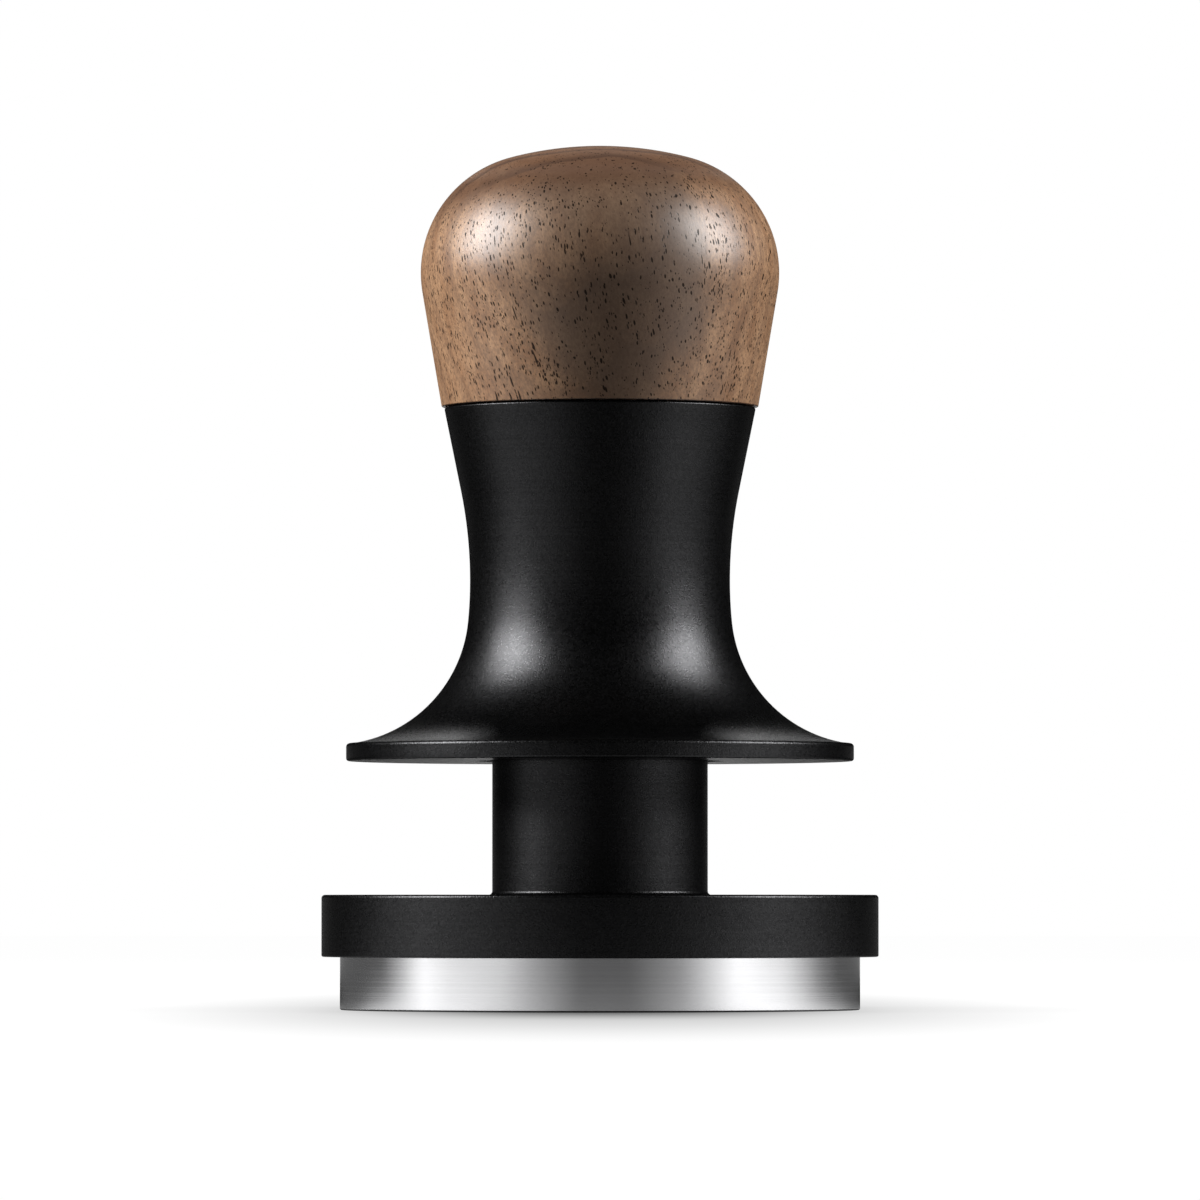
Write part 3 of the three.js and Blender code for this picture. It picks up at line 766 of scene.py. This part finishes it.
GRAIN_LEAN = (math.radians(11.3), math.radians(9.5), 0)
GRAIN_AXIS = Euler(GRAIN_LEAN).to_matrix()[2]
YEAR_WIDTH = 3.7            # wood that one year adds, in millimetres
PITH = (15.5, 20.0)         # where the heart of the tree was, in the grain's own directions
DARK_STREAK = (15.2, -33.5)
STREAK_HALF_SIZE = (11, 4.5)
LIGHT_WOOD = (0.375, 0.216, 0.116)
BROWN_WOOD = (0.235, 0.118, 0.056)
LATE_WOOD = (0.135, 0.070, 0.038)
STREAK_WOOD = (0.086, 0.060, 0.044)
FIBRE_SHADE = (0.086, 0.050, 0.030)
SPECK_SHADE = (0.070, 0.039, 0.024)
# Colour the crown is pulled toward: darker end grain and painted shade on the upward-facing top
END_GRAIN_AND_PAINTED_SHADE = (0.068, 0.029, 0.013)
END_GRAIN_RING = (0.026, 0.011, 0.005)
PORE_SHADE = (0.010, 0.006, 0.004)


def walnut():
    """Oiled walnut whose grain leans left and back. Its crown is end grain, duller than the sides
    and darker, partly as end grain and partly with painted shade. A pore holds little oil, so it
    shines less."""
    look = Look("walnut_oiled")
    grain = look.stretched(look.mm, (1, 1, 1), GRAIN_LEAN)
    surface = look.add("ShaderNodeTexCoord", {}).outputs["Normal"]
    end_grain = look.math("ABSOLUTE", look.math_vector("DOT_PRODUCT", surface, GRAIN_AXIS))
    crown = look.ramp(look.math_vector("DOT_PRODUCT", surface, (0, 0, 1)), 0.7, 0.92, 0.0, 1.0)
    year = walnut_year(look, grain)
    fibre = look.noise(look.stretched(grain, (8.0, 8.0, 0.35)), 1.0, 3.0, 0.6)
    pores = walnut_pores(look, grain, year, end_grain)
    colour = walnut_colour(look, grain, year, fibre, end_grain)
    colour = look.mix(look.math("MULTIPLY", pores, 0.95), colour, PORE_SHADE)

    satin = look.ramp(fibre, 0.2, 0.8, 0.44, 0.36)
    roughness = look.math("ADD", satin, look.math("MULTIPLY", crown, 0.4))
    oil = look.ramp(pores, 0.0, 1.0, 0.5, 0.1)
    sheen = look.math("MULTIPLY", oil, look.ramp(crown, 0.0, 1.0, 1.0, 0.25))
    normal = look.bump(fibre, 0.008, 0.5)
    normal = look.bump(look.math("SUBTRACT", 1.0, pores), 0.008, 0.5, normal)
    return look.set(Base_Color=colour, Roughness=roughness, Specular_IOR_Level=sheen, Normal=normal)


def walnut_year(look, grain):
    """How far through a year's growth the wood is, from 0 to 1. The rings waver a little."""
    wave = look.noise(look.stretched(grain, (0.07, 0.07, 0.02)), 1.0, 3.0)
    wave = look.math("MULTIPLY", look.math("SUBTRACT", wave, 0.5), 7.0)
    pith = look.math_vector("ADD", grain, (-PITH[0], -PITH[1], 0.0))
    pith = look.math_vector("MULTIPLY", pith, (1, 1, 0))
    ring = look.math("ADD", look.math_vector("LENGTH", pith), wave)
    return look.math("FRACT", look.math("DIVIDE", ring, YEAR_WIDTH))


def walnut_colour(look, grain, year, fibre, end_grain):
    """Everything but the pores: mottled brown wood, darker late in each year, with one smoky
    streak along the front, fine fibres and specks, and a crown darkened partly as end grain
    and partly with painted shade."""
    late = look.ramp(year, 0.45, 0.93, 0.0, 1.0)
    late = look.math("MULTIPLY", late, look.ramp(year, 0.93, 1.0, 1.0, 0.0))
    streak = look.math_vector("ADD", grain, (-DARK_STREAK[0], -DARK_STREAK[1], 0.0))
    squeeze = (1 / STREAK_HALF_SIZE[0], 1 / STREAK_HALF_SIZE[1], 0)
    streak = look.math_vector("LENGTH", look.math_vector("MULTIPLY", streak, squeeze))
    cloud = look.noise(look.stretched(grain, (0.13, 0.13, 0.05)), 1.0, 4.0, 0.6)
    smoke = look.math("ADD", streak, look.math("SUBTRACT", cloud, 0.5))
    smoke = look.ramp(smoke, 0.55, 1.35, 1.0, 0.0)
    mottle = look.noise(look.stretched(grain, (0.45, 0.45, 0.14)), 1.0, 5.0, 0.65)
    speck = look.noise(look.stretched(grain, (3.6, 3.6, 1.7)), 1.0, 4.0, 0.75)

    colour = look.mix(look.ramp(mottle, 0.32, 0.68, 0.0, 1.0), BROWN_WOOD, LIGHT_WOOD)
    colour = look.mix(look.math("MULTIPLY", late, 0.4), colour, LATE_WOOD)
    colour = look.mix(look.math("MULTIPLY", smoke, 0.75), colour, STREAK_WOOD)
    colour = look.mix(look.ramp(fibre, 0.25, 0.75, 0.22, 0.0), colour, FIBRE_SHADE)
    colour = look.mix(look.ramp(speck, 0.38, 0.6, 0.5, 0.0), colour, SPECK_SHADE)
    # Darker where the surface faces along the grain: partly real end grain, partly painted shade on
    # the upward-facing crown
    colour = look.mix(look.ramp(end_grain, 0.3, 0.72, 0.0, 0.78), colour, END_GRAIN_AND_PAINTED_SHADE)
    crown_rings = look.math("MULTIPLY", late, look.ramp(end_grain, 0.5, 0.85, 0.0, 0.55))
    return look.mix(crown_rings, colour, END_GRAIN_RING)


def walnut_pores(look, grain, year, end_grain):
    """Long vessels along the grain, which the surface cuts into dots across the crown and into
    dashes down the side: common short ones, a few long ones in bundles, and fine specks."""
    patches = look.noise(look.stretched(grain, (0.16, 0.16, 0.06)), 1.0, 1.0)
    crowd = look.math("MULTIPLY", look.ramp(year, 0.0, 0.8, 1.0, 0.6),
                      look.ramp(patches, 0.4, 0.6, 0.55, 1.0))
    crowd = look.math("MULTIPLY", crowd, look.ramp(end_grain, 0.25, 0.8, 1.0, 0.45))
    dashes = pore_mask(look, grain, (0.33, 0.33, 1.2), 0.079, crowd)
    bundles = look.noise(look.stretched(grain, (0.35, 0.35, 0.05)), 1.0, 1.0)
    bundles = look.ramp(bundles, 0.56, 0.64, 0.0, 0.8)
    vessels = pore_mask(look, grain, (0.36, 0.36, 12.0), 0.085, bundles)
    specks = pore_mask(look, grain, (0.24, 0.24, 0.7), 0.05, look.math("MULTIPLY", crowd, 0.6))
    return look.math("MAXIMUM", look.math("MAXIMUM", dashes, vessels), specks)


def pore_mask(look, grain, spacing, radius, crowd):
    """1 inside a pore and 0 outside. A pore is long along the grain and round across it, and
    crowd is the share of them that are there."""
    bend = look.noise(look.stretched(grain, (0.3, 0.3, 0.12)), 1.0, 2.0)
    shift = look.add("ShaderNodeCombineXYZ", {0: bend, 1: bend, 2: 0.0}).outputs[0]
    place = look.math_vector("ADD", grain, look.math_vector("SCALE", shift, scale=1.5))
    place = look.stretched(place, tuple(1 / side for side in spacing))
    cells = look.add("ShaderNodeTexVoronoi", {"Vector": place, "Scale": 1.0, "Randomness": 1.0})
    chance = look.add("ShaderNodeSeparateColor", {0: cells.outputs["Color"]})
    kept = look.math("LESS_THAN", chance.outputs[0], crowd)
    reach = radius / spacing[0]
    size = look.ramp(chance.outputs[1], 0.0, 1.0, 0.7 * reach, 1.4 * reach)
    edge = look.math("SUBTRACT", cells.outputs["Distance"], size)
    inside = look.ramp(edge, -0.06, 0.06, 1.0, 0.0)
    return look.math("MULTIPLY", inside, kept)


def black_anodised():
    """Bead-blasted and black anodised. It mirrors very little, less still at its edges, and each
    tiny dimple catches the light a little differently."""
    look = Look("black_anodised", Metallic=1.0, Specular_Tint=(0.5, 0.5, 0.5, 1.0))
    blasted = look.add("ShaderNodeTexVoronoi", {"Vector": look.mm, "Scale": 6.5}, feature="F1")
    dimple = look.add("ShaderNodeSeparateColor", {0: blasted.outputs["Color"]}).outputs
    cloud = look.noise(look.mm, 0.09, 3.0)
    marks = look.turning_marks(3.0)
    tone = look.math("MULTIPLY", dimple[1], 0.6)
    tone = look.math("ADD", tone, look.ramp(cloud, 0.3, 0.7, 0.0, 0.2))
    tone = look.math("ADD", tone, look.ramp(marks, 0.3, 0.7, 0.0, 0.2))
    colour = look.mix(tone, (0.016, 0.016, 0.0165), (0.034, 0.034, 0.035))
    roughness = look.ramp(dimple[0], 0.0, 1.0, 0.27, 0.36)
    normal = look.bump(marks, 0.002, 0.5)
    normal = look.bump(blasted.outputs["Distance"], 0.03, 0.5, normal)
    return look.set(Base_Color=colour, Roughness=roughness, Normal=normal)


def turned_metal(name, colour, roughness, anisotropy, mark_size):
    """Lathe-turned metal whose fine rings stretch its reflections across them."""
    look = Look(name, Metallic=1.0, Anisotropic=anisotropy, Anisotropic_Rotation=0.25)
    marks = look.turning_marks(9.0)
    handling = look.noise(look.mm, 0.15, 2.0)
    darker = tuple(0.94 * value for value in colour)
    tone = look.mix(look.ramp(marks, 0.35, 0.65, 0.0, 1.0), darker, colour)
    haze = look.ramp(handling, 0.35, 0.7, 0.0, 0.015)
    rough = look.math("ADD", look.ramp(marks, 0.3, 0.7, roughness - 0.015, roughness + 0.015), haze)
    tangent = look.add("ShaderNodeTangent", {}, direction_type="RADIAL", axis="Z").outputs[0]
    normal = look.bump(marks, mark_size, 0.5)
    return look.set(Base_Color=tone, Roughness=rough, Normal=normal, Tangent=tangent)


def wire_steel():
    look = Look("drawn_spring_steel", Metallic=1.0)
    streak = look.noise(look.mm, 6.0, 4.0, 0.7)
    oil = look.noise(look.mm, 0.5, 3.0)
    tone = look.mix(look.ramp(oil, 0.35, 0.65, 0.0, 1.0), (0.33, 0.34, 0.37), (0.45, 0.45, 0.46))
    rough = look.ramp(streak, 0.3, 0.7, 0.26, 0.42)
    return look.set(Base_Color=tone, Roughness=rough, Normal=look.bump(streak, 0.006, 0.5))


def acetal():
    look = Look("machined_acetal", IOR=1.48, Subsurface_Weight=0.12, Subsurface_Scale=0.002)
    marks = look.turning_marks(5.0)
    tone = look.mix(look.ramp(marks, 0.3, 0.7, 0.0, 1.0), (0.76, 0.74, 0.69), (0.83, 0.81, 0.77))
    rough = look.ramp(marks, 0.3, 0.7, 0.38, 0.5)
    return look.set(Base_Color=tone, Roughness=rough, Normal=look.bump(marks, 0.008, 0.5))


def black_rubber():
    look = Look("moulded_black_rubber", IOR=1.5)
    skin = look.noise(look.mm, 5.0, 4.0, 0.65)
    bloom = look.noise(look.mm, 0.6, 3.0)
    bloom = look.ramp(bloom, 0.35, 0.7, 0.0, 1.0)
    tone = look.mix(bloom, (0.014, 0.014, 0.014), (0.03, 0.03, 0.031))
    rough = look.ramp(skin, 0.3, 0.7, 0.72, 0.88)
    return look.set(Base_Color=tone, Roughness=rough, Normal=look.bump(skin, 0.02, 0.6))


def black_steel():
    look = Look("black_oxide_steel", Metallic=1.0)
    grit = look.noise(look.mm, 4.0, 4.0, 0.65)
    patchy = look.ramp(grit, 0.35, 0.75, 0.0, 1.0)
    tone = look.mix(patchy, (0.035, 0.035, 0.038), (0.075, 0.074, 0.078))
    rough = look.ramp(grit, 0.3, 0.7, 0.34, 0.52)
    return look.set(Base_Color=tone, Roughness=rough, Normal=look.bump(grit, 0.01, 0.6))


# ---------------------------------------------------------------------------------------------
# Stage: floor, lights and camera
# ---------------------------------------------------------------------------------------------

def camera():
    data = bpy.data.cameras.new("photo_camera")
    data.lens = 296.6
    data.sensor_width = 36.0
    data.clip_end = 20.0
    eye = Vector((0, -1.11, 0.012))
    aim = Vector((0, 0, 0.046))
    piece = bpy.data.objects.new("photo_camera", data)
    piece.location = eye
    piece.rotation_euler = (aim - eye).to_track_quat("-Z", "Y").to_euler()
    bpy.context.scene.collection.objects.link(piece)
    bpy.context.scene.camera = piece


def soft_light(name, azimuth, elevation, distance, size, power, aim_height):
    """A rectangular light aimed at a height on the tamper's axis. Azimuth 0 is the camera's
    side, and angles are in degrees."""
    data = bpy.data.lights.new(name, "AREA")
    data.shape = "RECTANGLE"
    data.size, data.size_y = size
    data.energy = power
    aim = Vector((0, 0, aim_height))
    side = math.radians(azimuth)
    up = math.radians(elevation)
    away = Vector((math.sin(side) * math.cos(up), -math.cos(side) * math.cos(up), math.sin(up)))
    piece = bpy.data.objects.new(name, data)
    piece.location = aim + away * distance
    piece.rotation_euler = (-away).to_track_quat("-Z", "Y").to_euler()
    piece.visible_camera = False
    bpy.context.scene.collection.objects.link(piece)


def lights():
    """Two large soft boxes beside the tamper and a dim one above and behind it."""
    soft_light("left_box", -83, 28, 0.60, (0.34, 0.34), 8.7, 0.06)
    soft_light("right_box", 83, 28, 0.60, (0.32, 0.34), 6.6, 0.06)
    soft_light("back_light", 180, 30, 0.9, (0.3, 0.4), 1.2, 0.08)


def floor():
    """A pale disc with a soft shadow painted round the foot, drawn out along the photo's line of
    sight. It lights nothing: what the metal mirrors is the bounce bowl."""
    reach = 2500.0
    disc = turned("floor_disc", [(0, -1), (reach, -1), (reach, 0), (0, 0)])
    look = Look("pale_floor", Roughness=0.9, Base_Color=(0.03, 0.03, 0.03, 1),
                Specular_IOR_Level=0.0, Emission_Color=(1, 1, 1, 1))
    near = look.math_vector("LENGTH", look.math_vector("MULTIPLY", look.mm, (1, 0.33, 0)))
    far = look.math_vector("LENGTH", look.math_vector("MULTIPLY", look.mm, (1, 0.2, 0)))
    contact = look.ramp(near, 0.0, 36.0, 0.0, 0.55)
    penumbra = look.ramp(far, 8.0, 62.0, 0.0, 0.44)
    disc.data.materials.append(look.set(Emission_Strength=look.math("ADD", contact, penumbra)))
    disc.visible_diffuse = False
    disc.visible_glossy = False
    disc.visible_transmission = False
    disc.visible_shadow = False


# How bright the bounce bowl is in each direction: degrees from the camera's side, and a share
BOWL_DIAL = [
    (-168, 0.14), (-109, 0.12), (-96, 0.45), (-82, 0.98), (-68, 0.8), (-42, 0.69), (-26, 0.42),
    (-8, 0.17), (12, 0.16), (34, 0.38), (45, 0.66), (60, 1.0), (86, 0.76), (112, 0.24),
    (128, 0.12), (168, 0.14),
]


def bounce_bowl():
    """What the metal mirrors: a pale floor and low wall all round, bright on both sides and dim
    in front and behind. Only reflections see it. The steel mirrors the near floor, which is dark
    right round the foot as a painted shadow, the black parts mirror the middle of it, and both
    see the rim."""
    floor_reach = 600
    wall_reach = 700
    wall_height = 50
    bowl = turned("bounce_bowl", [
        (0, -0.5), (floor_reach, -0.5), (wall_reach, wall_height),
        (wall_reach + 1, wall_height), (floor_reach + 1, -1), (0, -1),
    ])
    look = Look("bounce", Base_Color=(0, 0, 0, 1), Specular_IOR_Level=0.0,
                Emission_Color=(1, 1, 1, 1))
    dial = bowl_dial(look)
    radius = look.radius()
    # Near glow, kept dark inside the base's radius as a painted shadow of the foot for the steel to
    # mirror
    near = look.math("SUBTRACT", look.ramp(radius, 30.0, 40.0, 0.1, 1.9),
                     look.ramp(radius, 80.0, 120.0, 0.0, 1.9))
    middle = look.math("MULTIPLY", look.ramp(radius, 80.0, 120.0, 0.0, 1.1), dial)
    rim = look.ramp(radius, 540.0, floor_reach, 0.0, 1.3)
    glow = look.math("ADD", look.math("ADD", near, middle), rim)
    glow = look.math("MULTIPLY", glow, dial)
    bowl.data.materials.append(look.set(Emission_Strength=glow))
    bowl.visible_camera = False
    bowl.visible_diffuse = False
    bowl.visible_transmission = False
    bowl.visible_shadow = False


def bowl_dial(look):
    """The bowl's brightness by direction, which runs round from behind to behind."""
    place = look.add("ShaderNodeSeparateXYZ", {0: look.mm}).outputs
    azimuth = look.math("ARCTAN2", place[0], look.math("MULTIPLY", place[1], -1.0))
    share = look.math("ADD", look.math("DIVIDE", azimuth, FULL_TURN), 0.5)
    dial = look.add("ShaderNodeValToRGB", {0: share})
    stops = dial.color_ramp.elements
    stops[0].position = 0.0
    stops[0].color = (1, 1, 1, 1)
    stops[-1].position = 1.0
    stops[-1].color = (1, 1, 1, 1)
    for degrees, glow in BOWL_DIAL:
        stop = stops.new(degrees / 360 + 0.5)
        stop.color = (glow, glow, glow, 1)
    return dial.outputs[0]


def world():
    scene = bpy.context.scene
    scene.world = bpy.data.worlds.new("white_world")
    scene.world.use_nodes = True
    background = scene.world.node_tree.nodes["Background"]
    background.inputs["Color"].default_value = (1, 1, 1, 1)
    background.inputs["Strength"].default_value = 1.0
    seen_by = scene.world.cycles_visibility
    seen_by.diffuse = False
    seen_by.glossy = False
    seen_by.transmission = False
    seen_by.scatter = False
    scene.view_settings.view_transform = "Standard"


# ---------------------------------------------------------------------------------------------
# Assembly
# ---------------------------------------------------------------------------------------------

BODY_OF = {node: body for body, nodes in frame["record"]["behaviour"]["bodies"].items()
           for node in nodes}
SLOT_OF = {part["node"]: part["material_slot"] for part in frame["record"]["subparts"]}

LOOKS = {
    "stainless_steel": turned_metal("turned_stainless", (0.66, 0.66, 0.67), 0.16, 0.3, 0.0004),
    "black_anodised": black_anodised(),
    "walnut": walnut(),
    "spring_steel": wire_steel(),
    "acetal": acetal(),
    "black_rubber": black_rubber(),
    "plain_aluminium": turned_metal("turned_aluminium", (0.76, 0.77, 0.78), 0.3, 0.5, 0.006),
    "black_steel": black_steel(),
}


def stands_for(node, piece):
    """The piece takes the node's place, body, slot and look."""
    slot = SLOT_OF[node]
    piece.data.materials.clear()
    piece.data.materials.append(LOOKS[slot])
    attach(piece, BODY_OF[node])
    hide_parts(node)
    return piece


camera()
world()
lights()
floor()
bounce_bowl()

stands_for("tamper_base", tamper_base())
stands_for("center_post", center_post())
stands_for("post_lock_washer", post_lock_washer())
stands_for("levelling_ring", levelling_ring())
stands_for("levelling_bush", levelling_bush())
stands_for("levelling_thrust_washer", flat_washer(
    "levelling_thrust_washer", "levelling_thrust_washer_steel", POST_RADIUS + 0.3, 0.1))
stands_for("handle_shell", handle_shell())
stands_for("handle_guide_bush", handle_guide_bush())
stands_for("guide_bush_clip", guide_bush_clip())
stands_for("stem_bush", stem_bush())
stands_for("upper_spring_seat", flat_washer(
    "upper_spring_seat", "upper_spring_seat_steel", TIP_RADIUS + 0.15, 0.12))
stands_for("bumper_ring", bumper_ring())
stands_for("retaining_washer", flat_washer(
    "retaining_washer", "retaining_washer_steel", 2.7, 0.12))
stands_for("retaining_screw", retaining_screw())
stands_for("knob_insert", knob_insert())
for screw_number in (1, 2, 3):
    stands_for(f"knob_screw_{screw_number}", knob_screw(screw_number))
stands_for("knob", knob())

main_spring = stands_for("main_spring", coil("main_spring", "main_spring_steel", 2.0, 6))
levelling_spring = stands_for("levelling_spring", coil(
    "levelling_spring", "levelling_spring_steel", 0.8, 4))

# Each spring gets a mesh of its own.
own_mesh(main_spring)
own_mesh(levelling_spring)
